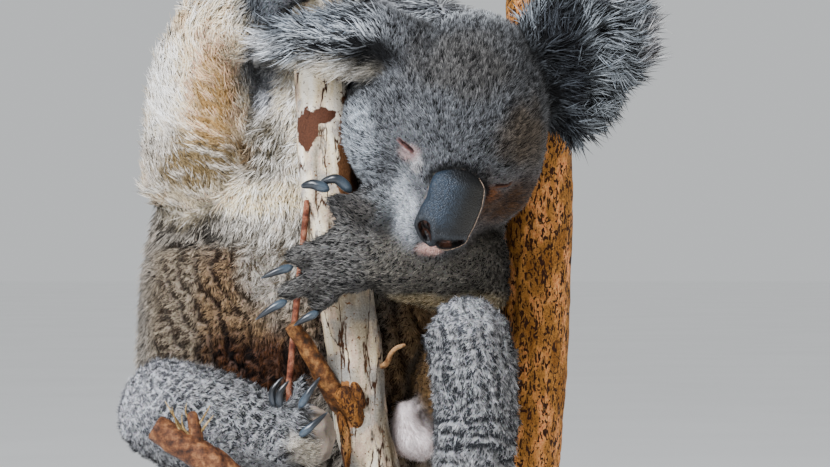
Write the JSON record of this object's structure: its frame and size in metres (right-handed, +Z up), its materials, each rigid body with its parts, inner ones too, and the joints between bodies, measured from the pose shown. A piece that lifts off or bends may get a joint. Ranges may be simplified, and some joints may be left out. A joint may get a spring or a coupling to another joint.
{
  "type": "koala model",
  "caption": "Life-size still model of a sleeping adult koala astride a cut forked gum stem, one arm round the stem and one raised, on a flat stand.",
  "frame": {"origin": "centre of the underside of the stand's base", "axes": "+Z up, -Y the way the animal faces, +X to the animal's left"},
  "size_m": [0.4, 0.33, 0.6633],
  "materials": {
    "stand_board": "dark satin paint",
    "stand_steel": "brushed",
    "pale_bark": "smooth whitish gum bark with brown cracks",
    "brown_bark": "orange-brown mottled bark",
    "red_bark": "thin reddish bark",
    "nose_leather": "fine pebbled, slightly shiny",
    "lid_skin": "thin pinkish skin",
    "claw_horn": "polished blue-grey horn",
    "grey_fur": "short dense grey fur",
    "pale_fur": "long cream and white fur",
    "belly_fur": "brown-grey fur in rolls"
  },
  "bodies": {
    "root": {"stand_base": "stand_board", "stand_rod_right": "stand_steel", "stand_rod_left": "stand_steel", "perch_fork": "pale_bark", "perch_stem_pale": "pale_bark", "perch_stem_brown": "brown_bark", "perch_side_shoot": "brown_bark", "perch_cut_branch": "red_bark", "perch_twig": "red_bark", "nose": "nose_leather", "eyelid_left": "lid_skin", "eyelid_right": "lid_skin", "claw_hand_left_1": "claw_horn", "claw_hand_left_2": "claw_horn", "claw_hand_left_3": "claw_horn", "claw_hand_left_4": "claw_horn", "claw_hand_left_5": "claw_horn", "claw_hand_right_1": "claw_horn", "claw_hand_right_2": "claw_horn", "claw_hand_right_3": "claw_horn", "claw_hand_right_4": "claw_horn", "claw_hand_right_5": "claw_horn", "claw_foot_right_2": "claw_horn", "claw_foot_right_3": "claw_horn", "claw_foot_right_4": "claw_horn", "claw_foot_right_5": "claw_horn", "claw_foot_left_2": "claw_horn", "claw_foot_left_3": "claw_horn", "claw_foot_left_4": "claw_horn", "claw_foot_left_5": "claw_horn", "hand_left": "grey_fur", "hand_right": "grey_fur", "foot_right": "grey_fur", "foot_left": "grey_fur", "head": "grey_fur", "ear_left": "grey_fur", "ear_right": "grey_fur", "forearm_left": "grey_fur", "upper_arm_left": "grey_fur", "forearm_right": "grey_fur", "upper_arm_right": "pale_fur", "shin_left": "grey_fur", "thigh_left": "grey_fur", "shin_right": "grey_fur", "thigh_right": "grey_fur", "scrotum": "pale_fur", "neck": "grey_fur", "chest": "pale_fur", "abdomen": "belly_fur"}
  },
  "joints": []
}
